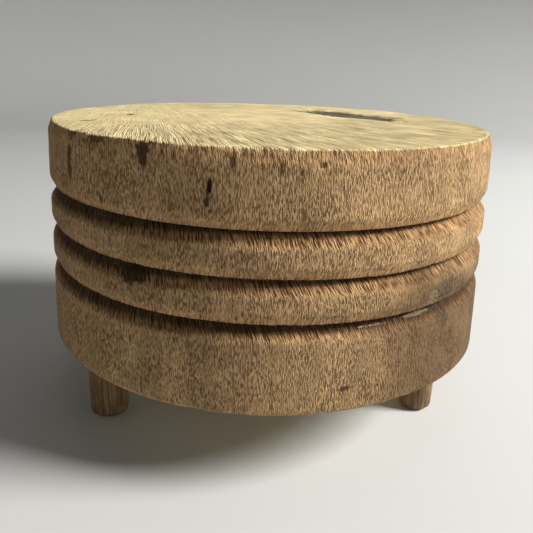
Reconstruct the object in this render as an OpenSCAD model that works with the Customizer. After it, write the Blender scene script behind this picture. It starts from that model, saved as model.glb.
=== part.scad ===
// Turned wooden butter mold. A round bowl stands on three pegged legs, and a lift-off lid
// closes it. The lid's spigot drops into the bowl and carries a carved print, which
// stamps the butter. The lid and the bowl part at the root of the top groove.
// Origin: on the floor, on the axis of the drum. +Z is up. The left leg points towards
// -X and -Y, the right leg towards +X and -Y, and the back leg towards +Y.

/* [Drum] */
// Radius of the drum at its top band
drum_r = 75; // [72:0.5:85]
// Height of the drum with its lid, without the legs
drum_h = 72; // [68:0.5:84]
// Extra radius at the foot of the drum
foot_flare = 2.6; // [0:0.1:4]
// Rounding of the worn top edge
top_edge_r = 2.8; // [1:0.1:4]
// Rounding of the worn bottom edge
bottom_edge_r = 1.2; // [0.5:0.1:2]

/* [Grooves] */
// Drop from the top to the upper lip of each groove
groove_drops = [20.2, 33, 45.5];
// Height of a groove from lip to lip
groove_w = 4.6; // [3.6:0.1:5.4]
// Depth of a groove
groove_depth = 4.5; // [3:0.1:4.8]
// Rounding of the lips
lip_r = 1.5; // [0.6:0.1:1.6]

/* [Bowl] */
// Radius of the butter cavity at its mouth
cavity_r = 53; // [48:0.5:54]
// Thickness of the floor
floor_t = 11; // [8:0.5:14]
// How much narrower the cavity is at its floor, so that the butter slips out
cavity_draft = 1.5; // [0:0.1:3]
// Rounding where the cavity's wall meets its floor
cavity_corner_r = 5; // [2:0.5:6]
// Radius of the hole that drains buttermilk and lets air in behind the butter
drain_r = 4.5; // [3:0.5:6]

/* [Lid and print] */
// Depth of the spigot that centres the lid in the bowl
spigot_h = 6; // [5:0.5:9]
// Thickness of the carved print disc
print_t = 6; // [5:0.5:8]
// Gap all round between the spigot and the bowl
spigot_gap = 0.3; // [0.2:0.05:0.8]
// Depth of the carving
carving_depth = 2; // [1:0.1:2.5]
// Radius of the compass circles that set out the rosette
rosette_r = 36; // [28:0.5:38]
// Radius of a wooden pin that holds the print
pin_r = 2.5; // [1.5:0.1:3]
// Depth of a pin in the lid, above the print disc
pin_grip = 13; // [8:0.5:15]

/* [Legs] */
// Height of the drum above the floor
leg_h = 25.5; // [16:0.5:36]
// Depth of a leg's socket in the drum
socket_h = 17; // [12:0.5:18]
// Compass angle of the left, right and back leg, from +X
leg_angles = [-144.5, -26, 95];
// Distance of each leg's centre from the axis
leg_offsets = [64.8, 62.4, 63.4];
// Radius of each leg
leg_radii = [6.5, 5.8, 6.2];
// Length of a wedge and of the saw cut that it spreads
wedge_h = 10; // [6:0.5:12]
// Thickness of a wedge at its thick end
wedge_t = 1.8; // [1.2:0.1:2.4]

/* [Hidden] */
$fn = 96;

bowl_colour = [0.62, 0.47, 0.31];
lid_colour = [0.74, 0.6, 0.42];
leg_colour = [0.42, 0.28, 0.17];
wedge_colour = [0.7, 0.52, 0.32];
print_colour = [0.72, 0.56, 0.36];

top_z = leg_h + drum_h;
root_share = 0.22;
parting_z = top_z - groove_drops[0] - root_share * groove_w;
floor_z = leg_h + floor_t;
spigot_z = parting_z - spigot_h;
print_z = spigot_z - print_t;
spigot_r = cavity_r - spigot_gap;
straight_wall_h = 1.5;
spigot_chamfer = 0.8;

foot_chamfer = 0.9;
socket_end_gap = 0.5;
wedge_tip_t = 0.5;

petal_ridge = 0.8;
border_r = rosette_r + 4.5;
border_w = 1.6;
chip_ring_r = rosette_r + 10.5;
chip_r = 2.1;
chips = 36;
pin_ring_r = rosette_r * 0.75;
pins = 3;
cut_over = 1;

// Radius of the wall at a drop below the top
function wall_r(drop) = drum_r + foot_flare * drop / drum_h;

function unit(v) = v / norm(v);

// Arc of radius r that rounds the corner b between the straight edges a-b and b-c
function rounded(a, b, c, r, steps = 6) =
    let (
        u = unit(a - b),
        v = unit(c - b),
        half = acos(u * v) / 2,
        centre = b + unit(u + v) * r / sin(half),
        from = b + u * r / tan(half) - centre,
        to = b + v * r / tan(half) - centre,
        start = atan2(from[1], from[0]),
        turn = (atan2(to[1], to[0]) - start + 540) % 360 - 180
    )
    [for (i = [0:steps]) centre + r * [cos(start + turn * i / steps), sin(start + turn * i / steps)]];

// Corners of a groove at a drop, from the upper lip through the root to the lower lip
function upper_lip(drop) = [wall_r(drop), top_z - drop];
function root(drop) = [wall_r(drop) - groove_depth, top_z - drop - root_share * groove_w];
function lower_lip(drop) = [wall_r(drop + groove_w), top_z - drop - groove_w];

// Half outline of the lid with its spigot, from the axis outwards
module lid_outline() {
    top_edge = [drum_r, top_z];
    lip = upper_lip(groove_drops[0]);
    seat = root(groove_drops[0]);
    polygon(concat(
        [[0, top_z]],
        rounded([0, top_z], top_edge, lip, top_edge_r),
        rounded(top_edge, lip, seat, lip_r),
        [
            seat,
            [spigot_r, parting_z],
            [spigot_r, spigot_z + spigot_chamfer],
            [spigot_r - spigot_chamfer, spigot_z],
            [0, spigot_z]
        ]
    ));
}

// Half outline of the bowl with its cavity, from the parting plane down to the foot
module bowl_outline() {
    seat = root(groove_drops[0]);
    lip_1 = lower_lip(groove_drops[0]);
    lip_2 = upper_lip(groove_drops[1]);
    root_2 = root(groove_drops[1]);
    lip_3 = lower_lip(groove_drops[1]);
    lip_4 = upper_lip(groove_drops[2]);
    root_3 = root(groove_drops[2]);
    lip_5 = lower_lip(groove_drops[2]);
    foot = [wall_r(drum_h), leg_h];
    wall_foot = [cavity_r - cavity_draft, floor_z];
    straight = [cavity_r, print_z - straight_wall_h];
    polygon(concat(
        [[cavity_r, parting_z], seat],
        rounded(seat, lip_1, lip_2, lip_r),
        rounded(lip_1, lip_2, root_2, lip_r),
        [root_2],
        rounded(root_2, lip_3, lip_4, lip_r),
        rounded(lip_3, lip_4, root_3, lip_r),
        [root_3],
        rounded(root_3, lip_5, foot, lip_r),
        rounded(lip_5, foot, [0, leg_h], bottom_edge_r),
        [[drain_r, leg_h], [drain_r, floor_z]],
        rounded([0, floor_z], wall_foot, straight, cavity_corner_r),
        [straight]
    ));
}

module at_leg(i) {
    rotate([0, 0, leg_angles[i]]) translate([leg_offsets[i], 0, 0]) children();
}

module bowl() {
    color(bowl_colour)
    difference() {
        rotate_extrude() bowl_outline();
        for (i = [0:2])
            at_leg(i)
                translate([0, 0, leg_h - cut_over])
                    cylinder(r = leg_radii[i], h = socket_h + cut_over);
    }
}

// Tapered prism of a wedge, thick end up, across the full width of a leg
module wedge_prism(leg_r) {
    tip_z = leg_h + socket_h - socket_end_gap - wedge_h;
    translate([0, leg_r, tip_z])
        rotate([90, 0, 0])
            linear_extrude(height = 2 * leg_r)
                polygon([
                    [-wedge_tip_t / 2, 0],
                    [wedge_tip_t / 2, 0],
                    [wedge_t / 2, wedge_h],
                    [-wedge_t / 2, wedge_h]
                ]);
}

module leg(i) {
    r = leg_radii[i];
    length = leg_h + socket_h - socket_end_gap;
    color(leg_colour)
    at_leg(i)
    difference() {
        rotate_extrude()
            polygon([
                [0, 0],
                [r - foot_chamfer, 0],
                [r, foot_chamfer],
                [r, length - foot_chamfer],
                [r - foot_chamfer, length],
                [0, length]
            ]);
        wedge_prism(r + cut_over);
    }
}

module wedge(i) {
    color(wedge_colour)
    at_leg(i)
    intersection() {
        wedge_prism(leg_radii[i] + cut_over);
        cylinder(r = leg_radii[i] - foot_chamfer, h = leg_h + socket_h);
    }
}

module lid() {
    color(lid_colour)
    difference() {
        rotate_extrude() lid_outline();
        pin_places() cylinder(r = pin_r, h = pin_grip);
    }
}

// Puts its children at each pin, at the top face of the print disc
module pin_places() {
    for (k = [0:pins - 1])
        rotate([0, 0, 30 + 360 / pins * k])
            translate([pin_ring_r, 0, spigot_z])
                children();
}

// One petal, bounded by two compass circles, pointing along +X
module petal() {
    intersection() {
        rotate([0, 0, 60]) translate([rosette_r, 0]) circle(r = rosette_r - petal_ridge);
        rotate([0, 0, -60]) translate([rosette_r, 0]) circle(r = rosette_r - petal_ridge);
    }
}

// Everything that is cut into the lower face of the print
module carving() {
    for (k = [0:5])
        rotate([0, 0, 60 * k])
            translate([0, 0, print_z - cut_over])
                linear_extrude(height = carving_depth + cut_over) petal();
    rotate_extrude()
        polygon([
            [border_r, print_z + border_w],
            [border_r - border_w - cut_over, print_z - cut_over],
            [border_r + border_w + cut_over, print_z - cut_over]
        ]);
    for (k = [0:chips - 1])
        rotate([0, 0, 360 / chips * k])
            translate([chip_ring_r, 0, print_z - cut_over])
                cylinder(r1 = chip_r + cut_over, r2 = 0, h = chip_r + cut_over, $fn = 24);
}

module print_disc() {
    color(print_colour)
    difference() {
        translate([0, 0, print_z]) cylinder(r = spigot_r - spigot_chamfer, h = print_t);
        carving();
        pin_places()
            translate([0, 0, -print_t - cut_over])
                cylinder(r = pin_r, h = print_t + 2 * cut_over);
    }
}

module print_pins() {
    color(wedge_colour)
    pin_places() translate([0, 0, -print_t]) cylinder(r = pin_r, h = print_t + pin_grip);
}

bowl();
leg(0);  // leg_left
leg(1);  // leg_right
leg(2);  // leg_back
wedge(0);  // wedge_left
wedge(1);  // wedge_right
wedge(2);  // wedge_back
lid();
print_disc();
print_pins();
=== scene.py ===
"""Looks for a turned wooden butter mold: a grooved drum of end-grain wood on three whittled
pegs, with a lift-off lid and a carved print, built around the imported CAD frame.
Shapes are worked out in millimetres and stored in metres."""
import math

import bmesh
import bpy
import numpy as np
from mathutils import Matrix, Vector
from mathutils.geometry import delaunay_2d_cdt


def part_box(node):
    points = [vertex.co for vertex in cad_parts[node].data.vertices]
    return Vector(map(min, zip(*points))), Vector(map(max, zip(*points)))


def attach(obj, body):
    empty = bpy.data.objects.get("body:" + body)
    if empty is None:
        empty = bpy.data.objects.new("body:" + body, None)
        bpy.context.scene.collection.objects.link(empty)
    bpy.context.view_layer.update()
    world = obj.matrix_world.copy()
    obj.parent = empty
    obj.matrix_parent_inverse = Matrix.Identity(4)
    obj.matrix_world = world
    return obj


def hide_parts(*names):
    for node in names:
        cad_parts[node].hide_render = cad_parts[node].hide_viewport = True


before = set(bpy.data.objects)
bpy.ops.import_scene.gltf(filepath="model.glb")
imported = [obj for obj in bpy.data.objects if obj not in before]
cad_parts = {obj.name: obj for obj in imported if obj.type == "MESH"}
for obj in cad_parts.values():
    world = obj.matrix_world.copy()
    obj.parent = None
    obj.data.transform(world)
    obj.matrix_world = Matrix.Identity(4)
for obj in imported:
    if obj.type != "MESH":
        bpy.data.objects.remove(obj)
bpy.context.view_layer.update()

MM = 0.001


def box_mm(node):
    low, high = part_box(node)
    return np.array(low) / MM, np.array(high) / MM


# ---------------------------------------------------------------- sizes, in millimetres
lid_low, lid_high = box_mm("lid")
bowl_low, bowl_high = box_mm("bowl")
print_low, print_high = box_mm("print_disc")

TOP_Z = lid_high[2]
PARTING_Z = bowl_high[2]
SPIGOT_Z = lid_low[2]
PRINT_Z = print_low[2]
LEG_H = bowl_low[2]
DRUM_H = TOP_Z - LEG_H
DRUM_R = 75.0
FOOT_FLARE = 2.6
GROOVE_DROPS = (20.2, 33.0, 45.5)
GROOVE_W = 4.6
GROOVE_DEPTH = 4.5
ROOT_SHARE = 0.22
LIP_R = 0.9
LOWER_LIP_R = 1.44
SHOULDER_H = 3.0
SHOULDER_IN = 1.5
TOP_EDGE_R = 2.8
TOP_EDGE_IN = 1.25
TOP_EDGE_DROP = 3.4
TOP_EDGE_FOOT_R = 4.5
TOP_EDGE_END = TOP_EDGE_DROP + 2.0
TOP_EDGE_VARIES = 0.2
ARRIS_R = 0.9
BOTTOM_EDGE_R = 1.3
BOTTOM_EDGE_IN = 2.5
CAVITY_R = 53.0
CAVITY_DRAFT = 1.5
CAVITY_CORNER_R = 5.0
FLOOR_T = 11.0
FLOOR_Z = LEG_H + FLOOR_T
DRAIN_R = 4.5
SPIGOT_R = 52.7
SPIGOT_CHAMFER = 0.8
PRINT_R = print_high[0]
PRINT_EDGE_R = 0.5
SOCKET_GAP = 0.08
SOCKET_PAST_LEG = 0.5

# The rays fan out from the middle of the tree. This is its place seen from above, outside the
# drum, and RAY_ARC is the radius from it at which ray_space is true to size
PITH = np.array([-72.0, 120.0])
RAY_ARC = 205.0

# Fineness of the meshes
SIDE_SEGMENTS = 1800
INNER_SEGMENTS = 480
BORE_SEGMENTS = 72
PIN_SEGMENTS = 48
LEG_SEGMENTS = 96
TOP_STEP = 0.65
UNDERSIDE_STEP = 1.3
SEAT_STEP = 1.5
CAVITY_STEP = 1.2
CARVING_STEP = 0.45
COARSE_STEP = 1.8

# Depth of each kind of wear
OUT_OF_ROUND = 0.28
RIPPLE = 0.05
TEAR = 0.04
TEAR_IN_CUT = 0.1
LIP_FUZZ = 0.08
LIP_BITE = 0.16
ARRIS_NICK = 0.5
ARRIS_FUZZ = 0.25
TOP_WAVE = 0.18
SAW_MARK = 0.03
TURNING_LINE = 0.05
TURNING_PITCH = 1.3
GOUGE_LINE = 0.06
GOUGE_PITCH = 1.5


# ---------------------------------------------------------------- noise
def lattice(cell, seed):
    """A repeatable number from 0 to 1 at each whole-numbered place."""
    h = cell[..., 0] * 374761393 + cell[..., 1] * 668265263 + cell[..., 2] * 1103515245
    h = (h + seed * 974634777) & 0xFFFFFFFF
    h = ((h ^ (h >> 13)) * 1274126177) & 0xFFFFFFFF
    return ((h ^ (h >> 16)) & 0xFFFF) / 65535.0


def noise(p, seed=0):
    """Smooth value noise from -1 to 1, one cell per unit."""
    cell = np.floor(p).astype(np.int64)
    t = p - cell
    t = t * t * (3 - 2 * t)
    total = 0.0
    for corner in np.ndindex(2, 2, 2):
        weight = np.prod(np.where(np.array(corner) == 1, t, 1 - t), axis=-1)
        total = total + weight * lattice(cell + np.array(corner), seed)
    return total * 2 - 1


def fractal(p, octaves=3, seed=0):
    """Noise with finer and weaker layers added, still from -1 to 1."""
    layers = [noise(p * 2.0**k, seed + 17 * k) * 0.5**k for k in range(octaves)]
    return sum(layers) / sum(0.5**k for k in range(octaves))


def smooth(low, high, value):
    """0 at low and 1 at high, whichever is larger, with an easy curve between."""
    t = np.clip((value - low) / (high - low), 0, 1)
    return t * t * (3 - 2 * t)


# ---------------------------------------------------------------- places on the drum
def wall_r(drop):
    """Radius of the wall at a drop below the top."""
    return DRUM_R + FOOT_FLARE * drop / DRUM_H


def cylindrical(p):
    """Compass angle in degrees, radius and drop below the top."""
    return np.degrees(np.arctan2(p[:, 1], p[:, 0])), np.hypot(p[:, 0], p[:, 1]), TOP_Z - p[:, 2]


def ray_space(p):
    """Place across, along and up the rays, which are upright sheets through the pith."""
    d = p[:, :2] - PITH
    across = np.arctan2(d[:, 1], d[:, 0]) * RAY_ARC
    return np.stack([across, np.hypot(d[:, 0], d[:, 1]), p[:, 2]], axis=1)


def arc_from(angle, centre, radius):
    """Distance round the wall from a compass angle, in millimetres."""
    return np.radians((angle - centre + 180) % 360 - 180) * radius


# ---------------------------------------------------------------- outlines
def unit(v):
    return v / np.linalg.norm(v)


def rounded_outline(corners, step):
    """Points along straight runs joined by arcs. Each corner is (radius, height, rounding)."""
    ends = [np.array(corners[0][:2])]
    for a, b, c in zip(corners, corners[1:], corners[2:]):
        here = np.array(b[:2])
        if b[2] == 0:
            ends.append(here)
            continue
        u, v = unit(np.array(a[:2]) - here), unit(np.array(c[:2]) - here)
        half = math.acos(np.clip(u @ v, -1, 1)) / 2
        middle = here + unit(u + v) * b[2] / math.sin(half)
        start, stop = (here + w * b[2] / math.tan(half) - middle for w in (u, v))
        first = math.atan2(start[1], start[0])
        turn = (math.atan2(stop[1], stop[0]) - first + math.pi) % (2 * math.pi) - math.pi
        count = max(4, round(abs(turn) * b[2] / 0.3))
        for k in range(count + 1):
            angle = first + turn * k / count
            ends.append(middle + b[2] * np.array([math.cos(angle), math.sin(angle)]))
    ends.append(np.array(corners[-1][:2]))
    points = [ends[0]]
    for a, b in zip(ends, ends[1:]):
        parts = max(1, round(np.linalg.norm(b - a) / step))
        points += [a + (b - a) * k / parts for k in range(1, parts + 1)]
    return np.array(points)


def band_corners(drop_above, drop_below):
    """Corners of one band: lower lip of the groove above, shoulder, upper lip and root below."""
    lip_drop = drop_above + GROOVE_W
    shoulder_drop = drop_below - SHOULDER_H
    root_z = TOP_Z - drop_below - ROOT_SHARE * GROOVE_W
    return [
        (wall_r(lip_drop), TOP_Z - lip_drop, LOWER_LIP_R),
        (wall_r(shoulder_drop), TOP_Z - shoulder_drop, SHOULDER_H),
        (wall_r(drop_below) - SHOULDER_IN, TOP_Z - drop_below, LIP_R),
        (wall_r(drop_below) - GROOVE_DEPTH, root_z, 0),
    ]


def seat_radius():
    return wall_r(GROOVE_DROPS[0]) - GROOVE_DEPTH


def lid_side_outline():
    """From the lower end of the rounded top edge down to the root of the top groove."""
    lip = wall_r(GROOVE_DROPS[0]) - SHOULDER_IN
    shoulder_drop = GROOVE_DROPS[0] - SHOULDER_H
    return rounded_outline([
        (wall_r(TOP_EDGE_R), TOP_Z - TOP_EDGE_END * (1 + TOP_EDGE_VARIES), 0),
        (wall_r(shoulder_drop), TOP_Z - shoulder_drop, SHOULDER_H),
        (lip, TOP_Z - GROOVE_DROPS[0], LIP_R),
        (seat_radius(), PARTING_Z, 0),
    ], step=0.5)


def bowl_side_outline():
    """From the root of the top groove down past the rounded bottom edge."""
    last_lip = GROOVE_DROPS[2] + GROOVE_W
    corners = [(seat_radius(), PARTING_Z, 0)]
    corners += band_corners(GROOVE_DROPS[0], GROOVE_DROPS[1])
    corners += band_corners(GROOVE_DROPS[1], GROOVE_DROPS[2])
    corners += [
        (wall_r(last_lip), TOP_Z - last_lip, LOWER_LIP_R),
        (wall_r(DRUM_H), LEG_H, BOTTOM_EDGE_R),
        (wall_r(DRUM_H) - BOTTOM_EDGE_IN, LEG_H, 0),
    ]
    return rounded_outline(corners, step=0.55)


# ---------------------------------------------------------------- mesh building
class Shell:
    """Collects points and faces of one closed piece, in millimetres."""

    def __init__(self):
        self.blocks, self.faces, self.count = [], [], 0

    def add(self, points):
        points = np.asarray(points, float).reshape(-1, 3)
        self.blocks.append(points)
        self.count += len(points)
        return np.arange(self.count - len(points), self.count)

    def points(self):
        return np.concatenate(self.blocks)

    def grid(self, rows, first=None, last=None):
        """Rings of points, each joined to the next. first and last reuse rings made before."""
        rings = [self.add(r) for r in rows[(first is not None):(len(rows) - (last is not None))]]
        if first is not None:
            rings.insert(0, first)
        if last is not None:
            rings.append(last)
        for a, b in zip(rings, rings[1:]):
            quads = np.stack([a, np.roll(a, -1), np.roll(b, -1), b], axis=1)
            self.faces += quads.tolist()
        return rings

    def spin(self, outline, segments, first=None, last=None):
        """Turns an outline of (radius, height) about the axis."""
        turn = np.linspace(-math.pi, math.pi, segments, endpoint=False)
        rows = [
            np.stack([r * np.cos(turn), r * np.sin(turn), np.full(segments, z)], axis=1)
            for r, z in outline
        ]
        return self.grid(rows, first, last)

    def patch(self, outer, holes, step, height, centre=(0.0, 0.0)):
        """Fills the flat face between closed rings with even triangles."""
        made = self.points()
        rings = [outer, *holes]
        coords = [made[ring][:, :2] for ring in rings]
        reach = np.abs(coords[0] - np.array(centre)).max() + step
        row_h = step * math.sqrt(3) / 2
        rows = np.arange(-reach, reach, row_h)
        columns = np.arange(-reach, reach, step)
        x, y = np.meshgrid(columns, rows)
        x = x + (np.arange(len(rows)) % 2)[:, None] * step / 2
        spots = np.stack([x.ravel(), y.ravel()], axis=1)
        jitter = np.random.default_rng(7).uniform(-0.18, 0.18, spots.shape) * step
        spots = spots + jitter + np.array(centre)
        keep = inside(spots, coords[0], step * 0.6, wanted=True)
        for ring in coords[1:]:
            keep &= inside(spots, ring, step * 0.6, wanted=False)
        spots = spots[keep]
        new = self.add(np.column_stack([spots, np.full(len(spots), height)]))
        index = np.concatenate([*rings, new])
        flat = np.concatenate([*coords, spots])
        edges, at = [], 0
        for ring in rings:
            n = len(ring)
            edges += [(at + k, at + (k + 1) % n) for k in range(n)]
            at += n
        kept, _, triangles, origin = delaunay_2d_cdt(flat.tolist(), edges, [], 1, 1e-6)[:4]
        triangles = np.array([face for face in triangles if len(face) == 3])
        kept = np.array([tuple(v) for v in kept])
        source = np.array([o[0] for o in origin])
        middles = kept[triangles].mean(axis=1)
        wanted = np.ones(len(triangles), bool)
        for ring in coords[1:]:
            wanted &= inside(middles, ring, 0, wanted=False)
        self.faces += index[source[triangles[wanted]]].tolist()

    def build(self, name, shape=None):
        """The mesh object, with normals outwards. shape moves the points and sets masks."""
        mesh = bpy.data.meshes.new(name)
        mesh.from_pydata((self.points() * MM).tolist(), [], self.faces)
        tidy = bmesh.new()
        tidy.from_mesh(mesh)
        bmesh.ops.recalc_face_normals(tidy, faces=tidy.faces)
        tidy.to_mesh(mesh)
        tidy.free()
        mesh.shade_smooth()
        made = bpy.data.objects.new(name, mesh)
        bpy.context.scene.collection.objects.link(made)
        if shape:
            p = self.points()
            normals = np.empty(len(p) * 3, np.float32)
            mesh.vertex_normals.foreach_get("vector", normals)
            moved, masks = shape(p, normals.reshape(-1, 3).astype(float))
            mesh.vertices.foreach_set("co", (moved * MM).astype(np.float32).ravel())
            for mask, values in masks.items():
                layer = mesh.attributes.new(mask, "FLOAT", "POINT")
                layer.data.foreach_set("value", np.clip(values, 0, 1).astype(np.float32))
            mesh.update()
        return made


def inside(spots, ring, margin, wanted):
    """Which spots lie inside a nearly round ring, or outside it, by at least a margin."""
    middle = ring.mean(axis=0)
    d, e = spots - middle, ring - middle
    order = np.argsort(np.arctan2(e[:, 1], e[:, 0]))
    ring_angle = np.arctan2(e[order, 1], e[order, 0])
    limit = np.interp(
        np.arctan2(d[:, 1], d[:, 0]), ring_angle, np.hypot(*e[order].T), period=2 * math.pi
    )
    reach = np.hypot(*d.T)
    return reach < limit - margin if wanted else reach > limit + margin


# ---------------------------------------------------------------- wear and marks
class Mark:
    """A stain, hole, chip or patch on the side: compass angle, drop, half width and half height."""

    def __init__(self, angle, drop, half_w, half_h, depth=0.0, **masks):
        self.angle, self.drop, self.half_w, self.half_h = angle, drop, half_w, half_h
        self.depth, self.masks = depth, masks

    def share(self, angle, drop, ragged):
        """From 0 outside the mark to 1 inside. ragged roughens its edge."""
        x = arc_from(angle, self.angle, DRUM_R) / self.half_w
        y = (drop - self.drop) / self.half_h
        return smooth(1.25, 0.6, np.hypot(x, y) + ragged)


SIDE_MARKS = [
    Mark(-138.5, 8.6, 1.5, 6.4, 0.2, stain=0.72),
    Mark(-138.0, 0.4, 2.6, 1.6, 0.5, stain=0.62),
    Mark(-129.0, 0.8, 3.4, 1.5, 0.5, stain=0.64),
    Mark(-126.0, 4.6, 2.2, 1.2, 0.0, stain=0.35),
    Mark(-115.5, 2.0, 2.5, 2.3, 0.4, stain=0.74),
    Mark(-115.0, 4.8, 1.2, 2.0, 0.3, stain=0.72),
    Mark(-122.0, 3.6, 0.8, 1.0, 0.2, stain=0.5),
    Mark(-96.8, 3.6, 0.9, 2.0, 0.3, stain=0.62),
    Mark(-101.2, 10.0, 0.8, 2.2, 1.0, stain=0.95),
    Mark(-101.6, 13.4, 0.9, 1.6, 0.3, stain=0.72),
    Mark(-100.9, 15.6, 0.6, 0.7, 0.3, stain=0.7),
    Mark(-126.6, 17.0, 0.5, 1.4, 0.3, stain=0.75),
    Mark(-88.0, 4.8, 0.6, 1.8, 0.2, stain=0.35),
    Mark(-84.0, 5.4, 0.6, 1.4, 0.2, stain=0.35),
    Mark(-80.0, 3.6, 0.8, 0.8, 0.3, stain=0.6),
    # Painted shade: this stain darkens the slope below the top groove on the shaded left.
    Mark(-118.0, 28.5, 6.0, 4.6, 0.0, stain=0.34),
    Mark(-112.0, 29.5, 3.0, 3.0, 0.0, stain=0.25),
    Mark(-118.5, 36.0, 5.0, 3.0, 0.2, stain=0.72),
    Mark(-117.0, 40.5, 5.5, 3.0, 0.0, stain=0.22),
    Mark(-131.0, 52.5, 3.0, 2.5, 0.0, stain=0.25),
    Mark(-73.0, 64.6, 2.0, 0.8, 0.2, stain=0.72),
    Mark(-76.5, 65.2, 1.6, 0.6, 0.0, dust=0.45),
    Mark(-119.0, 54.5, 0.6, 1.6, 0.2, stain=0.6),
    Mark(-46.5, 40.5, 6.0, 4.8, 0.0, grey=0.56),
    Mark(-45.0, 39.6, 2.6, 2.4, 0.0, stain=0.4),
    Mark(-50.5, 42.0, 2.2, 1.8, 0.2, dust=0.72),
    Mark(-50.5, 44.2, 4.0, 1.3, 0.2, dust=0.65),
    Mark(-53.5, 47.6, 7.5, 0.5, -0.3, dust=0.78),
    Mark(-66.0, 47.9, 6.0, 0.4, -0.2, dust=0.64),
    Mark(-47.0, 50.6, 5.0, 2.2, 0.0, grey=0.54),
    Mark(-77.3, 71.8, 0.8, 1.1, 1.1),
    Mark(-104.0, 71.9, 3.0, 0.9, 0.3),
    Mark(-60.0, 71.9, 4.0, 0.8, 0.25),
]


def side_marks(p, angle, drop, masks):
    """Depth of every mark at each point. Raises the masks too."""
    depth = np.zeros(len(p))
    outer = smooth(DRUM_R - 6.0, DRUM_R - 3.0, np.hypot(p[:, 0], p[:, 1]))
    ragged = 0.35 * noise(p / 1.3, seed=41) + 0.2 * noise(p / 0.5, seed=42)
    for mark in SIDE_MARKS:
        share = mark.share(angle, drop, ragged) * outer
        depth += mark.depth * share
        for name, strength in mark.masks.items():
            masks[name] = np.maximum(masks[name], strength * share)
    # The side is made darker lower down on the right, through the stain mask.
    darker_low_right = smooth(26.0, 43.0, drop + 5 * fractal(p / 20.0, 2, 43))
    darker_low_right *= smooth(-82.0, -54.0, angle) * smooth(70.0, 20.0, angle)
    masks["stain"] = np.maximum(masks["stain"], 0.6 * darker_low_right * outer)
    return depth


def blob(p, ragged, x, y, half_l, half_w, direction):
    """From 0 outside an oval on the top to 1 inside. ragged roughens its edge."""
    c, s = math.cos(math.radians(direction)), math.sin(math.radians(direction))
    dx, dy = p[:, 0] - x, p[:, 1] - y
    along, across = (dx * c + dy * s) / half_l, (dy * c - dx * s) / half_w
    return smooth(1.2, 0.75, np.hypot(along, across) + ragged)


def top_marks(p, masks, on_top):
    """The rotten hollow with its crack, and small brown marks."""
    ragged = 0.3 * fractal(p / 4.0, 3, 61)
    fibrous = ragged + 0.32 * fractal(ray_space(p) / (2.2, 18.0, 4.0), 2, 62)
    hollow = blob(p, fibrous, 29.5, 31.0, 27.0, 10.0 + 3.0 * noise(p / 9.0, 64), -43.0)
    crack = blob(p, fibrous, 25.0, 26.5, 24.0, 2.6, -43.6)
    # A faint, broad darkening towards the back of the top.
    darker_back = blob(p, ragged, -17.0, 50.0, 34.0, 17.0, 8.0)
    spots = [
        blob(p, ragged, -50.0, -0.7, 1.3, 2.8, 8.0),
        blob(p, ragged, -58.5, -25.5, 3.6, 1.6, 50.0),
        blob(p, ragged, 28.5, -22.5, 2.5, 2.0, 0.0) * 0.6,
    ]
    masks["grey"] = np.maximum(masks["grey"], hollow * on_top)
    brown = [0.75 * spot for spot in spots]
    soaked = np.maximum.reduce([crack, darker_back * 0.26, *brown])
    masks["stain"] = np.maximum(masks["stain"], soaked * on_top)
    rotten = 0.5 + 0.5 * fractal(ray_space(p) / (1.6, 12.0, 4.0), 2, 63)
    return hollow * (0.5 + 1.1 * rotten) + 1.3 * crack + 0.2 * sum(spots)


# What the materials read at each point, from 0 to 1: cut groove, dirt and painted shade in
# recesses, stain, grey rot, dust, flat end face, inside, and rubbed lip
MASKS = ("cut", "crevice_dirt_and_shade", "stain", "grey", "dust", "face", "inner", "worn")


def rays_at(p, across=0.45, along=14.0, up=2.6, seed=5):
    """Noise stretched along the rays, with its size across, along and up them."""
    return fractal(ray_space(p) / (across, along, up), 2, seed)


class Zones:
    """How far each point of the lid or the bowl belongs to each part of the drum, 0 to 1."""

    def __init__(self, p, normals):
        up = normals[:, 2]
        self.angle, self.radius, self.drop = cylindrical(p)
        self.inset = wall_r(self.drop) - self.radius
        self.side = smooth(GROOVE_DEPTH + 1.6, GROOVE_DEPTH + 0.6, self.inset)
        self.top = smooth(0.55, 0.9, up) * (self.drop < TOP_EDGE_R)
        self.below = smooth(-0.8, -0.95, up) * (p[:, 2] < LEG_H + 0.1)
        self.rim = smooth(0.08, 0.3, up) * (self.drop < TOP_EDGE_DROP + 1) * (1 - self.top)
        self.arris = smooth(0.995, 0.8, up) * smooth(0.2, 0.6, up) * (self.drop < 2.5)
        self.groove = self.side * (self.drop > 14) * (self.drop < DRUM_H - 8)
        self.lip = self.groove * smooth(0.3, 0.9, self.inset) * smooth(2.6, 1.6, self.inset)
        self.lower_lip = self.lip * smooth(0.1, -0.3, up)
        self.bottom_edge = self.side * smooth(LEG_H + 1.8, LEG_H + 0.6, p[:, 2])
        self.inner = 1 - np.maximum.reduce([self.side, self.top, self.below, self.rim])
        self.upright = smooth(0.5, 0.9, 1 - np.abs(up))
        self.off_parting = smooth(0.0, 1.6, np.abs(p[:, 2] - PARTING_Z))


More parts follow.
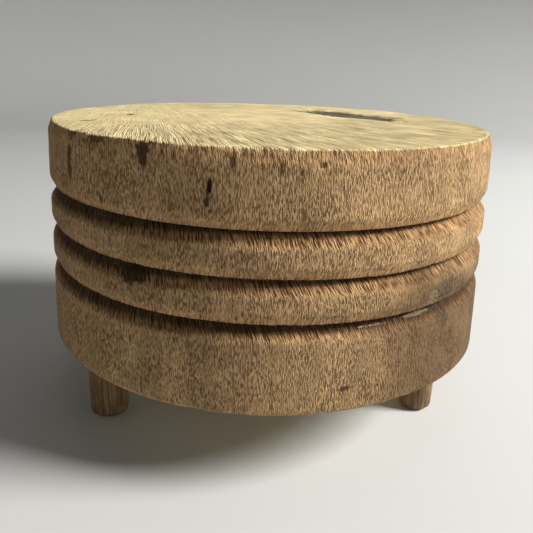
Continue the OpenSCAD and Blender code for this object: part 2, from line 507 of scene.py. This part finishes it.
def wear_masks(p, zones):
    """The masks before any mark is added."""
    masks = {name: np.zeros(len(p)) for name in MASKS}
    ragged_inset = zones.inset + 0.2 * fractal(ray_space(p) / (0.5, 8.0, 3.0), 2, 10)
    masks["cut"] = np.maximum(zones.groove * smooth(0.05, 1.5, ragged_inset), 0.45 * zones.rim)
    # Painted shade: the darkened roots reach further out on the left, which the key light leaves in
    # shade, and also in the lower grooves.
    shaded_left = smooth(0.0, -0.75, p[:, 0] / DRUM_R)
    left_shade_and_low_grooves = np.maximum(shaded_left, 0.75 * smooth(30.0, 47.0, zones.drop))
    # Painted shade with some dirt: the roots of the grooves, deep under the lips, are darkened.
    masks["crevice_dirt_and_shade"] = zones.groove * smooth(3.0 - 2.4 * left_shade_and_low_grooves, 4.3 - 2.2 * left_shade_and_low_grooves, ragged_inset)
    masks["face"] = np.maximum(zones.top, zones.below)
    masks["inner"] = zones.inner
    # The whole underside is made a little darker through the stain mask.
    masks["stain"] = 0.36 * zones.below
    masks["worn"] = np.maximum(zones.lower_lip, 1.6 * zones.bottom_edge)
    return masks


def side_wear(p, zones, masks):
    """How far the side stands out: waves, torn grain, bitten lips, a nicked arris and marks."""
    wobble = OUT_OF_ROUND * fractal(p / 30.0, 2, 11) + RIPPLE * fractal(p / 7.0, 2, 12)
    tear = (TEAR + TEAR_IN_CUT * masks["cut"]) * rays_at(p)
    bites = smooth(0.35, 0.8, noise(np.column_stack([p[:, :2] / 2.6, zones.drop / 7.0]), 13))
    ragged = zones.lip * (LIP_FUZZ * rays_at(p, 0.6, 9.0, 4.0, 21) - LIP_BITE * bites)
    out = (wobble + tear + ragged) * zones.off_parting * zones.side
    nicked = ARRIS_NICK * smooth(0.1, 0.8, noise(p / np.array([2.2, 2.2, 6.0]), 17))
    out -= zones.arris * (nicked + ARRIS_FUZZ * rays_at(p, 0.6, 9.0, 4.0, 18))
    marked = side_marks(p, zones.angle, zones.drop, masks)
    return out - marked * zones.off_parting * np.maximum(zones.side, zones.rim)


def turning_lines(p, zones):
    phase = zones.radius * 2 * math.pi / TURNING_PITCH + 0.6 * fractal(p / 9.0, 2, 16)
    return TURNING_LINE * np.sin(phase)


def face_wear(p, zones, masks):
    """How far the top and the underside stand out: waves, saw marks, lines and the hollow."""
    from_pith = np.hypot(p[:, 0] - PITH[0], p[:, 1] - PITH[1])
    sawn = rays_at(p, 0.9, 18.0, 3.0, 15) * smooth(105.0, 195.0, from_pith)
    flat = TOP_WAVE * fractal(p / 16.0, 3, 14) + SAW_MARK * sawn
    top = (flat - top_marks(p, masks, zones.top)) * zones.top
    return top + (0.8 * flat + turning_lines(p, zones)) * zones.below


def inner_wear(p, zones):
    """Gouge marks and turning lines in the cavity, below the print."""
    gouged = GOUGE_LINE * np.sin(p[:, 2] * 2 * math.pi / GOUGE_PITCH) * zones.upright
    in_cavity = (zones.radius < CAVITY_R - 0.2) * (p[:, 2] < PRINT_Z)
    return (gouged + turning_lines(p, zones)) * zones.inner * zones.off_parting * in_cavity


def weathered(p, normals):
    """Moves the points of the lid or the bowl as turning, sawing and wear left them."""
    zones = Zones(p, normals)
    masks = wear_masks(p, zones)
    out = side_wear(p, zones, masks) + face_wear(p, zones, masks) + inner_wear(p, zones)
    for name in ("stain", "grey", "dust"):
        masks[name] = masks[name] * (1 - zones.inner)
    return p + normals * out[:, None], masks


# ---------------------------------------------------------------- the drum
def ring_points(radius, height, segments, centre=(0.0, 0.0)):
    turn = np.linspace(-math.pi, math.pi, segments, endpoint=False)
    x, y = centre[0] + radius * np.cos(turn), centre[1] + radius * np.sin(turn)
    return np.stack([x, y, np.full(segments, height)], axis=1)


def bore(shell, centre, radius, mouth_z, end_z, segments=BORE_SEGMENTS):
    """A round blind hole. Returns the ring at its mouth."""
    heights = np.linspace(mouth_z, end_z, max(2, round(abs(end_z - mouth_z))) + 1)
    rings = shell.grid([ring_points(radius, z, segments, centre) for z in heights])
    shell.patch(rings[-1], [], radius / 4, end_z, centre)
    return rings[0]


def make_lid():
    shell = Shell()
    turn = np.linspace(-math.pi, math.pi, SIDE_SEGMENTS, endpoint=False)
    worn = 1 + TOP_EDGE_VARIES * np.cos(turn - math.radians(-30))
    bevel = rounded_outline([
        (TOP_EDGE_R, 0.0, 0),
        (TOP_EDGE_IN, 0.0, ARRIS_R),
        (0.0, TOP_EDGE_DROP, TOP_EDGE_FOOT_R),
        (0.0, TOP_EDGE_END, 0),
    ], step=0.4)
    rows = []
    for inwards, drop in bevel:
        r, z = DRUM_R - inwards * worn, TOP_Z - drop * worn
        rows.append(np.stack([r * np.cos(turn), r * np.sin(turn), z], axis=1))
    rim = shell.grid(rows)
    shell.patch(rim[0], [], TOP_STEP, TOP_Z)
    side = shell.spin(lid_side_outline(), SIDE_SEGMENTS, first=rim[-1])
    spigot = shell.spin(
        rounded_outline([
            (SPIGOT_R, PARTING_Z, 0),
            (SPIGOT_R, SPIGOT_Z + SPIGOT_CHAMFER, 0),
            (SPIGOT_R - SPIGOT_CHAMFER, SPIGOT_Z, 0),
        ], step=0.6),
        INNER_SEGMENTS,
    )
    shell.patch(side[-1], [spigot[0]], SEAT_STEP, PARTING_Z)
    pin_end = SPIGOT_Z + PIN_GRIP
    mouths = [bore(shell, c, PIN_R, SPIGOT_Z, pin_end, PIN_SEGMENTS) for c in PIN_PLACES]
    shell.patch(spigot[-1], mouths, COARSE_STEP, SPIGOT_Z)
    return shell.build("lid_wood", weathered)


def make_bowl():
    shell = Shell()
    side = shell.spin(bowl_side_outline(), SIDE_SEGMENTS)
    sockets = [
        bore(shell, leg.centre, leg.radius + SOCKET_GAP, LEG_H, leg.end_z + SOCKET_PAST_LEG)
        for leg in LEGS
    ]
    drain = shell.grid([
        ring_points(DRAIN_R, z, BORE_SEGMENTS) for z in np.linspace(LEG_H, FLOOR_Z, 14)
    ])
    shell.patch(side[-1], [drain[0], *sockets], UNDERSIDE_STEP, LEG_H)
    wall_foot = CAVITY_R - CAVITY_DRAFT
    cavity = shell.spin(
        rounded_outline([
            (wall_foot - CAVITY_CORNER_R - 1.0, FLOOR_Z, 0),
            (wall_foot, FLOOR_Z, CAVITY_CORNER_R),
            (CAVITY_R, PRINT_Z - 1.5, 0),
            (CAVITY_R, PARTING_Z, 0),
        ], step=0.7),
        INNER_SEGMENTS,
    )
    shell.patch(cavity[0], [drain[-1]], CAVITY_STEP, FLOOR_Z)
    shell.patch(side[0], [cavity[-1]], SEAT_STEP, PARTING_Z)
    return shell.build("bowl_wood", weathered)


# ---------------------------------------------------------------- legs
class Leg:
    """Place and size of one leg, from the frame."""

    def __init__(self, node):
        low, high = box_mm(node)
        self.node = node
        self.centre = ((low + high) / 2)[:2]
        self.radius = (high[0] - low[0]) / 2
        self.end_z = high[2]


LEGS = [Leg("leg_left"), Leg("leg_right"), Leg("leg_back")]
LEG_FACETS = 9
FOOT_R = 2.3
FOOT_FLAT_IN = 3.4
TENON_CHAMFER = 0.8
WEDGE_H = 10.0
WEDGE_T = 1.8
WEDGE_TIP_T = 0.5
SAW_CUT_W = 16.0


def make_leg(leg, seed):
    """A whittled peg: flat knife cuts along its length, a worn foot, and a saw cut in its tenon."""
    shell = Shell()
    outline = rounded_outline([
        (leg.radius - FOOT_FLAT_IN, 0.0, 0),
        (leg.radius - 0.1, 0.0, FOOT_R),
        (leg.radius, leg.end_z - TENON_CHAMFER, 0),
        (leg.radius - TENON_CHAMFER, leg.end_z, 0),
    ], step=0.5)
    rings = shell.spin(outline, LEG_SEGMENTS)
    shell.patch(rings[0], [], 0.7, 0.0)
    shell.patch(rings[-1], [], 1.2, leg.end_z)

    def whittled(p, normals):
        turn = np.arctan2(p[:, 1], p[:, 0]) + seed
        facet = 2 * math.pi / LEG_FACETS
        drift = 0.12 * noise(np.column_stack([p[:, 2] / 14, np.cos(turn), np.sin(turn)]), seed)
        cut = math.cos(facet / 2) / np.cos((turn + drift) % facet - facet / 2)
        radial = 1 + 0.3 * (cut - 1) + 0.012 * fractal(p / 6.0, 2, seed + 3)
        grain = 0.05 * fractal(p / np.array([0.7, 0.7, 8.0]), 2, seed + 5)
        foot = smooth(2.5, 0.0, p[:, 2])
        moved = p.copy()
        moved[:, :2] *= radial[:, None]
        moved[:, :2] += normals[:, :2] * grain[:, None]
        rough = 0.25 * (1 + fractal(p / np.array([1.1, 1.1, 3.0]), 2, seed + 7))
        moved[:, 2] += foot * rough * (normals[:, 2] < -0.2)
        moved[:, 2] -= moved[:, 2].min()
        masks = {
            # Painted shade: the top of the peg, just under the drum, is darkened.
            "crevice_dirt_and_shade": smooth(LEG_H - 2.2, LEG_H, p[:, 2]),
            "face": smooth(0.5, 0.9, np.abs(normals[:, 2])),
        }
        moved[:, :2] += leg.centre
        return moved, masks

    made = shell.build(leg.node + "_peg", whittled)
    saw_cut(made, leg)
    return made


def saw_cut(peg, leg):
    """Opens the tapered cut in the tenon, in which the wedge sits."""
    cutter = bpy.data.meshes.new("cutter")
    shape = bmesh.new()
    angle = math.atan2(leg.centre[1], leg.centre[0])
    turn = Matrix.Rotation(angle, 3, "Z")
    corners = []
    w = SAW_CUT_W / 2
    for z, t in ((leg.end_z - WEDGE_H, WEDGE_TIP_T), (leg.end_z + 1, WEDGE_T)):
        for x, y in ((-t / 2, -w), (t / 2, -w), (t / 2, w), (-t / 2, w)):
            corner = turn @ Vector((x, y, z)) + Vector((*leg.centre, 0))
            corners.append(shape.verts.new(corner * MM))
    for k in range(4):
        shape.faces.new([corners[j] for j in (k, (k + 1) % 4, (k + 1) % 4 + 4, k + 4)])
    shape.faces.new(corners[3::-1])
    shape.faces.new(corners[4:])
    shape.to_mesh(cutter)
    shape.free()
    tool = bpy.data.objects.new("cutter", cutter)
    bpy.context.scene.collection.objects.link(tool)
    cut = peg.modifiers.new("saw", "BOOLEAN")
    cut.object, cut.operation, cut.solver = tool, "DIFFERENCE", "EXACT"
    depsgraph = bpy.context.evaluated_depsgraph_get()
    result = bpy.data.meshes.new_from_object(peg.evaluated_get(depsgraph))
    peg.modifiers.clear()
    peg.data = result
    bpy.data.objects.remove(tool)


# ---------------------------------------------------------------- the carved print
ROSETTE_R = 36.0
PETAL_RIDGE = 0.8
CARVING_DEPTH = 2.0
BORDER_R = ROSETTE_R + 4.5
BORDER_W = 1.6
CHIPS = 36
CHIP_RING_R = ROSETTE_R + 10.5
CHIP_R = 2.1
PIN_R = 2.5
PIN_GRIP = 13.0
PIN_RING_R = ROSETTE_R * 0.75
PIN_PLACES = [
    (PIN_RING_R * math.cos(math.radians(a)), PIN_RING_R * math.sin(math.radians(a)))
    for a in (30, 150, 270)
]


def carving_depth(p):
    """Depth of the knife work in the print's face: petals, a ring and a row of chips."""
    radius = np.hypot(p[:, 0], p[:, 1])
    angle = np.degrees(np.arctan2(p[:, 1], p[:, 0]))
    folded = np.radians((angle + 30) % 60 - 30)
    spot = radius[:, None] * np.stack([np.cos(folded), np.sin(folded)], axis=1)
    third = math.radians(60)
    edges = [
        ROSETTE_R - PETAL_RIDGE - np.hypot(*(spot - ROSETTE_R * np.array(
            [math.cos(third), side * math.sin(third)])).T)
        for side in (-1, 1)
    ]
    petal = np.clip(np.minimum(*edges) * 0.8, 0, CARVING_DEPTH)
    ring = np.clip(BORDER_W - np.abs(radius - BORDER_R), 0, BORDER_W)
    step = 360 / CHIPS
    across = np.radians((angle + step / 2) % step - step / 2) * CHIP_RING_R
    out = radius - CHIP_RING_R
    chip = np.clip(CHIP_R - np.maximum(1.5 * np.abs(across) + 0.5 * out, -out), 0, CHIP_R) * 0.8
    return np.maximum.reduce([petal, ring, chip])


def sideways_wander(p):
    """Small sideways wander, so that no carved edge is perfectly straight."""
    x, y = fractal(p / 5.0, 2, 32), fractal(p / 5.0, 2, 33)
    return np.stack([x, y, np.zeros(len(p))], axis=1)


def carved(p, normals):
    """Moves the points of the print as the knife left them."""
    face = (normals[:, 2] < -0.7) & (p[:, 2] < PRINT_Z + 0.1)
    depth = carving_depth(p + 0.18 * sideways_wander(p)) * face
    depth += (0.06 * fractal(p / np.array([9.0, 1.2, 3.0]), 2, 31)) * face
    moved = p.copy()
    moved[:, 2] += np.maximum(depth, 0)
    # Painted shade: the carved hollows are darkened, the deeper the darker.
    masks = {"crevice_dirt_and_shade": smooth(0.5, 2.2, depth), "face": np.zeros(len(p))}
    return moved, masks


def make_print():
    shell = Shell()
    outline = rounded_outline([
        (PRINT_R - 1.4, PRINT_Z, 0),
        (PRINT_R, PRINT_Z, PRINT_EDGE_R),
        (PRINT_R, SPIGOT_Z, 0),
        (PRINT_R - 1.0, SPIGOT_Z, 0),
    ], step=0.6)
    side = shell.spin(outline, INNER_SEGMENTS)
    heights = np.linspace(PRINT_Z, SPIGOT_Z, 8)
    bores = [
        shell.grid([ring_points(PIN_R, z, PIN_SEGMENTS, c) for z in heights])
        for c in PIN_PLACES
    ]
    shell.patch(side[0], [b[0] for b in bores], CARVING_STEP, PRINT_Z)
    shell.patch(side[-1], [b[-1] for b in bores], 2.0, SPIGOT_Z)
    return shell.build("print_carved", carved)


# ---------------------------------------------------------------- materials
def colour(red, green, blue):
    """A display colour from 0 to 255 as the linear colour that shaders take."""
    parts = [c / 255 for c in (red, green, blue)]
    return [c / 12.92 if c <= 0.04045 else ((c + 0.055) / 1.055) ** 2.4 for c in parts] + [1.0]


class Graph:
    """Short calls for making one material's nodes."""

    def __init__(self, name, specular, roughness):
        self.material = bpy.data.materials.new(name)
        self.material.use_nodes = True
        self.tree = self.material.node_tree
        self.shader = self.tree.nodes["Principled BSDF"]
        self.shader.inputs["Specular IOR Level"].default_value = specular
        self.shader.inputs["Roughness"].default_value = roughness

    def node(self, kind, inputs=(), **settings):
        made = self.tree.nodes.new("ShaderNode" + kind)
        for key, value in settings.items():
            setattr(made, key, value)
        for key, value in dict(inputs).items():
            self.feed(value, made.inputs[key])
        return made

    def feed(self, value, socket):
        if isinstance(value, bpy.types.NodeSocket):
            self.tree.links.new(value, socket)
        else:
            socket.default_value = value

    def math(self, operation, a, b=0.0, c=0.0):
        inputs = {0: a, 1: b, 2: c}
        return self.node("Math", inputs, operation=operation).outputs[0]

    def vector(self, operation, a, b=(0.0, 0.0, 0.0)):
        return self.node("VectorMath", {0: a, 1: b}, operation=operation).outputs[0]

    def noise(self, place, detail=2.0, rough=0.5, warp=0.0):
        inputs = {"Vector": place, "Scale": 1.0, "Detail": detail, "Roughness": rough}
        inputs["Distortion"] = warp
        return self.node("TexNoise", inputs).outputs["Fac"]

    def ramp(self, value, low, high, out_low=0.0, out_high=1.0):
        inputs = {"Value": value, "From Min": low, "From Max": high}
        inputs.update({"To Min": out_low, "To Max": out_high})
        return self.node("MapRange", inputs, interpolation_type="SMOOTHSTEP").outputs[0]

    def mix(self, share, a, b, blend="MIX"):
        made = self.node("Mix", data_type="RGBA", blend_type=blend)
        for value, key in ((share, 0), (a, 6), (b, 7)):
            self.feed(value, made.inputs[key])
        return made.outputs[2]

    def blend(self, share, a, b):
        made = self.node("Mix", data_type="FLOAT")
        for value, key in ((share, 0), (a, 2), (b, 3)):
            self.feed(value, made.inputs[key])
        return made.outputs[0]

    def mask(self, name):
        return self.node("Attribute", attribute_name=name).outputs["Fac"]

    def place(self):
        """Object coordinates in millimetres."""
        coordinates = self.node("TexCoord").outputs["Object"]
        return self.vector("MULTIPLY", coordinates, (1000.0, 1000.0, 1000.0))

    def finish(self, base, roughness, height):
        """Joins colour, roughness and a height in metres to the shader."""
        self.feed(base, self.shader.inputs["Base Color"])
        self.feed(roughness, self.shader.inputs["Roughness"])
        bump = self.node("Bump", {"Strength": 1.0, "Distance": 1.0, "Height": height})
        self.feed(bump.outputs[0], self.shader.inputs["Normal"])
        return self.material


# Fineness of each kind of noise, per millimetre across, along and up the rays
LONG_RAYS = (3.5, 0.06, 0.45)
SHORT_RAYS = (3.4, 0.5, 0.7)
STREAKS = (0.35, 0.02, 0.07)
# Distances from the pith over which new rays come in between the old, and the rays grow strong
NEW_RAYS = (115.0, 165.0)
STRONG_RAYS = (115.0, 200.0)
# Heights of the bump in metres
TORN_RAY_H = 0.0009
FUZZ_H = 0.0002
INNER_FUZZ_H = 0.0001


def end_grain_wood(name, tones):
    """Weathered end-grain block: upright ray sheets that fan out from the pith, growth rings,
    fuzz where the rays tore, and the stains and dirt that the masks place."""
    g = Graph(name, specular=0.22, roughness=0.85)
    place = g.place()
    wander = g.noise(g.vector("MULTIPLY", place, (0.05, 0.05, 0.05)), 2.0)
    from_pith = g.vector("SUBTRACT", place, (float(PITH[0]), float(PITH[1]), 0.0))
    parts = g.node("SeparateXYZ", {0: from_pith}).outputs
    angle = g.math("ARCTAN2", parts[1], parts[0])
    squares = g.math("MULTIPLY_ADD", parts[0], parts[0], g.math("MULTIPLY", parts[1], parts[1]))
    along = g.math("SQRT", squares)
    outer_zone = g.ramp(along, *NEW_RAYS)

    def ray_noise(scale, detail):
        """Noise stretched along the rays, with new rays further out to keep the spacing even."""
        made = []
        for arc in (RAY_ARC / 2, RAY_ARC):
            across = g.math("MULTIPLY_ADD", angle, arc, g.math("MULTIPLY", wander, 2.5))
            rays = g.node("CombineXYZ", {0: across, 1: along, 2: parts[2]}).outputs[0]
            made.append(g.noise(g.vector("MULTIPLY", rays, scale), detail, 0.55))
        return g.blend(outer_zone, *made)

    cut, crevice_dirt_and_shade, face = g.mask("cut"), g.mask("crevice_dirt_and_shade"), g.mask("face")
    inner, worn_lip = g.mask("inner"), g.mask("worn")
    long_rays = ray_noise(LONG_RAYS, 1.0)
    short_rays = ray_noise(SHORT_RAYS, 1.5)
    fuzz = g.noise(g.vector("MULTIPLY", place, (2.6, 2.6, 1.6)), 2.0, 0.6)
    blotch = g.noise(g.vector("MULTIPLY", place, (0.09, 0.09, 0.06)), 3.0, 0.55)
    streaks = ray_noise(STREAKS, 3.0)
    ring_place = g.node("CombineXYZ", {0: g.math("MULTIPLY", along, 0.45),
                                       1: g.math("MULTIPLY", wander, 3.0)}).outputs[0]
    rings = g.noise(ring_place, 3.0, 0.6)
    ticks = g.noise(g.vector("MULTIPLY", place, (0.75, 0.75, 0.3)), 1.0)

    open_cut = g.math("MAXIMUM", cut, face)
    ray_value = g.blend(open_cut, short_rays, long_rays)
    patches = g.noise(g.vector("MULTIPLY", place, (0.11, 0.11, 0.11)), 2.0)
    patchy = g.ramp(patches, 0.36, 0.62, 0.55, 1.35)
    near_pith = g.blend(face, 0.5, 0.16)
    fade = g.ramp(along, *STRONG_RAYS, near_pith, 1.0)
    strength = g.math("MULTIPLY", fade, g.blend(open_cut, patchy, 1.0))
    ray_value = g.math("MULTIPLY_ADD", g.math("SUBTRACT", ray_value, 0.5), strength, 0.5)
    ridge = g.ramp(ray_value, 0.36, 0.62)

    side = g.mix(ridge, tones["side_dark"], tones["side_light"])
    slope = g.mix(ridge, tones["cut_dark"], tones["cut_light"])
    top = g.mix(g.ramp(ray_value, 0.32, 0.58), tones["top_dark"], tones["top_light"])
    inside = g.mix(ridge, tones["inner_dark"], tones["inner_light"])
    base = g.mix(cut, side, slope)
    base = g.mix(face, base, top)
    base = g.mix(inner, base, inside)
    shade = g.math("MULTIPLY", g.ramp(blotch, 0.25, 0.75, 0.84, 1.12),
                   g.ramp(streaks, 0.25, 0.75, 0.9, 1.08))
    shade = g.math("MULTIPLY", shade, g.ramp(rings, 0.3, 0.7, 0.93, 1.05))
    shade = g.math("MULTIPLY", shade, g.ramp(fuzz, 0.3, 0.7, 0.93, 1.06))
    grey_scale = g.node("CombineColor", {0: shade, 1: shade, 2: shade}).outputs[0]
    base = g.mix(1.0, base, grey_scale, "MULTIPLY")
    base = g.mix(g.math("MULTIPLY", worn_lip, 0.25), base, tones["cut_light"])
    # Painted shade with some dirt: groove roots and other recesses are darkened towards dark brown.
    base = g.mix(g.math("MULTIPLY", crevice_dirt_and_shade, 0.75), base, tones["crevice_dirt_and_shade"])
    worn = g.ramp(g.math("ADD", g.mask("grey"), g.math("MULTIPLY", fuzz, 0.9)), 0.75, 1.25)
    grey = g.mix(ridge, tones["grey_dark"], tones["grey_light"])
    base = g.mix(g.math("MULTIPLY", worn, 0.93), base, grey)
    crusty = g.math("MULTIPLY_ADD", fuzz, 1.6, g.math("SUBTRACT", g.mask("dust"), 0.8))
    dusty = g.ramp(crusty, 0.4, 0.85)
    base = g.mix(dusty, base, tones["dust"])
    soaked = g.ramp(g.math("ADD", g.mask("stain"), g.math("MULTIPLY", short_rays, 0.4)), 0.3, 1.15)
    base = g.mix(soaked, base, tones["stain"])
    ticked = g.math("MULTIPLY", g.ramp(ticks, 0.74, 0.8), g.math("SUBTRACT", 0.75, g.mask("inner")))
    base = g.mix(ticked, base, tones["stain"])

    torn = g.math("MULTIPLY", g.math("SUBTRACT", ray_value, 0.5), TORN_RAY_H)
    torn = g.math("MULTIPLY", torn, g.blend(face, 1.0, 0.9))
    torn = g.math("MULTIPLY", torn, g.blend(inner, 1.0, 0.25))
    hairy = g.math("MULTIPLY", g.math("SUBTRACT", fuzz, 0.5), g.blend(inner, FUZZ_H, INNER_FUZZ_H))
    roughness = g.blend(inner, g.ramp(fuzz, 0.3, 0.7, 0.82, 0.95), 0.62)
    return g.finish(base, roughness, g.math("ADD", torn, hairy))


def long_grain_wood(name, tones, squash, shift=0.0, roughness=0.7):
    """Straight-grained wood. squash stretches the grain along one axis."""
    g = Graph(name, specular=0.3, roughness=roughness)
    place = g.vector("ADD", g.place(), (shift, shift, shift))
    fibres = g.noise(g.vector("MULTIPLY", place, squash), 4.0, 0.65, 0.3)
    wide = g.noise(g.vector("MULTIPLY", place, [s * 0.22 for s in squash]), 3.0, 0.6)
    blotch = g.noise(g.vector("MULTIPLY", place, (0.16, 0.16, 0.16)), 3.0)
    ridge = g.ramp(fibres, 0.33, 0.66)
    base = g.mix(ridge, tones["dark"], tones["light"])
    base = g.mix(g.ramp(wide, 0.45, 0.72), base, tones["late"])
    shade = g.ramp(blotch, 0.25, 0.75, 0.72, 1.2)
    grey_scale = g.node("CombineColor", {0: shade, 1: shade, 2: shade}).outputs[0]
    base = g.mix(1.0, base, grey_scale, "MULTIPLY")
    # Painted shade: the crevice mask darkens where the piece goes into another or sinks in.
    base = g.mix(g.math("MULTIPLY", g.mask("crevice_dirt_and_shade"), 0.8), base, tones["crevice_dirt_and_shade"])
    height = g.math("MULTIPLY", g.math("SUBTRACT", fibres, 0.5), 0.0006)
    return g.finish(base, g.ramp(fibres, 0.3, 0.7, roughness - 0.08, roughness + 0.12), height)


DRUM_TONES = {
    "side_dark": colour(120, 91, 58),
    "side_light": colour(192, 158, 114),
    "cut_dark": colour(88, 58, 32),
    "cut_light": colour(202, 160, 112),
    "top_dark": colour(134, 106, 64),
    "top_light": colour(247, 227, 174),
    "inner_dark": colour(168, 128, 80),
    "inner_light": colour(206, 170, 118),
    # Dark brown for the painted shade and dirt in the groove roots
    "crevice_dirt_and_shade": colour(50, 32, 14),
    "grey_dark": colour(30, 31, 30),
    "grey_light": colour(112, 108, 97),
    "dust": colour(206, 184, 148),
    "stain": colour(58, 39, 22),
}
PEG_TONES = {
    "dark": colour(88, 66, 43),
    "light": colour(148, 120, 84),
    "late": colour(106, 82, 54),
    # Near black for the painted shade at the top of each peg
    "crevice_dirt_and_shade": colour(24, 16, 10),
}
PRINT_TONES = {
    "dark": colour(150, 108, 62),
    "light": colour(204, 162, 108),
    "late": colour(168, 122, 74),
    # Dark brown for the painted shade in the carved hollows
    "crevice_dirt_and_shade": colour(88, 58, 30),
}
WEDGE_TONES = {
    "dark": colour(150, 112, 66),
    "light": colour(210, 172, 118),
    "late": colour(176, 134, 84),
    "crevice_dirt_and_shade": colour(88, 58, 30),
}


def dress(piece, material):
    piece.data.materials.clear()
    piece.data.materials.append(material)


drum_wood = end_grain_wood("end_grain", DRUM_TONES)
wedge_wood = long_grain_wood("split_wood", WEDGE_TONES, (1.6, 1.6, 0.12))
print_wood = long_grain_wood("fine_wood", PRINT_TONES, (0.12, 1.3, 1.3), roughness=0.55)

lid = make_lid()
dress(lid, drum_wood)
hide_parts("lid")
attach(lid, "cover")

bowl = make_bowl()
dress(bowl, drum_wood)
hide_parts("bowl")
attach(bowl, "base")

print_disc = make_print()
dress(print_disc, print_wood)
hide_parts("print_disc")
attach(print_disc, "cover")

for number, leg in enumerate(LEGS):
    peg = make_leg(leg, seed=50 + 10 * number)
    wood = long_grain_wood(leg.node + "_wood", PEG_TONES, (1.1, 1.1, 0.09), 31.0 * number)
    dress(peg, wood)
    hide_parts(leg.node)
    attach(peg, "base")

for node in ("wedge_left", "wedge_right", "wedge_back", "print_pins"):
    dress(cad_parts[node], wedge_wood)


# ---------------------------------------------------------------- stage, light and camera
FLOOR_FLAT = 0.9
COVE_R = 0.8
WALL_TOP = 2.2
WALL_DIMS_FROM = 10.0
WALL_DIMS_TO = 600.0


def make_floor():
    """A pale floor that curves up into a dimmer wall all round, so no horizon shows. It is
    clear from outside, so that the underside can be looked at."""
    shell = Shell()
    turns = np.linspace(0, math.pi / 2, 24)
    outline = [(FLOOR_FLAT + COVE_R * math.sin(t), COVE_R * (1 - math.cos(t))) for t in turns]
    outline.append((FLOOR_FLAT + COVE_R, WALL_TOP))
    rings = shell.spin(np.array(outline) / MM, 96)
    shell.faces.append(rings[0].tolist())
    floor = shell.build("floor")
    g = Graph("floor_paint", specular=0.2, roughness=0.8)
    place = g.place()
    cloud = g.noise(g.vector("MULTIPLY", place, (0.01, 0.01, 0.01)), 2.0)
    pale = g.mix(cloud, colour(208, 209, 208), colour(213, 213, 211))
    height = g.node("SeparateXYZ", {0: place}).outputs[2]
    dim = g.ramp(height, WALL_DIMS_FROM, WALL_DIMS_TO)
    g.feed(g.mix(dim, pale, colour(150, 151, 150)), g.shader.inputs["Base Color"])
    within = g.node("NewGeometry").outputs["Backfacing"]
    clear = g.node("BsdfTransparent").outputs[0]
    seen = g.node("MixShader", {0: within, 1: clear, 2: g.shader.outputs[0]}).outputs[0]
    g.feed(seen, g.tree.nodes["Material Output"].inputs["Surface"])
    floor.data.materials.append(g.material)


def add_light(name, azimuth, elevation, distance, size, power, tint):
    """A round lamp that faces the drum from a compass angle, an elevation and a distance."""
    data = bpy.data.lights.new(name, "AREA")
    data.shape, data.size, data.energy, data.color = "DISK", size, power, tint
    lamp = bpy.data.objects.new(name, data)
    azimuth, elevation = math.radians(azimuth), math.radians(elevation)
    towards = Vector((math.cos(azimuth) * math.cos(elevation),
                      math.sin(azimuth) * math.cos(elevation), math.sin(elevation)))
    lamp.location = Vector((0, 0, 0.06)) + towards * distance
    lamp.rotation_euler = (-towards).to_track_quat("-Z", "Y").to_euler()
    lamp.visible_camera = False
    bpy.context.scene.collection.objects.link(lamp)


def make_lights():
    add_light("key", azimuth=-8.0, elevation=34.0, distance=1.45, size=0.55, power=37.0,
              tint=(1.0, 0.985, 0.96))
    add_light("overhead", azimuth=80.0, elevation=75.0, distance=1.2, size=0.9, power=1.2,
              tint=(1.0, 1.0, 1.0))
    world = bpy.data.worlds.new("studio")
    bpy.context.scene.world = world
    world.use_nodes = True
    sky = world.node_tree.nodes["Background"]
    sky.inputs["Color"].default_value = (1.0, 1.0, 1.0, 1.0)
    sky.inputs["Strength"].default_value = 0.02
    bpy.context.scene.view_settings.view_transform = "Standard"


def make_camera():
    """A hand-held close-up from the front, a little above the lid, tilted slightly."""
    distance, above_top, pitch, roll, yaw = 214.7, 20.0, 19.44, 2.01, 0.07
    pitch, roll, yaw = (math.radians(a) for a in (pitch, roll, yaw))
    level_part = math.cos(pitch)
    ahead = Vector((math.sin(yaw) * level_part, math.cos(yaw) * level_part, -math.sin(pitch)))
    level = Vector((math.cos(yaw), -math.sin(yaw), 0))
    up = level.cross(ahead)
    right = level * math.cos(roll) + up * math.sin(roll)
    up = up * math.cos(roll) - level * math.sin(roll)
    data = bpy.data.cameras.new("camera")
    data.sensor_width, data.lens = 36.0, 39.64
    data.clip_start, data.clip_end = 0.01, 20.0
    camera = bpy.data.objects.new("camera", data)
    camera.matrix_world = Matrix((right, up, -ahead)).transposed().to_4x4()
    camera.location = Vector((0.0, -distance, TOP_Z + above_top)) * MM
    bpy.context.scene.collection.objects.link(camera)
    bpy.context.scene.camera = camera


make_floor()
make_lights()
make_camera()
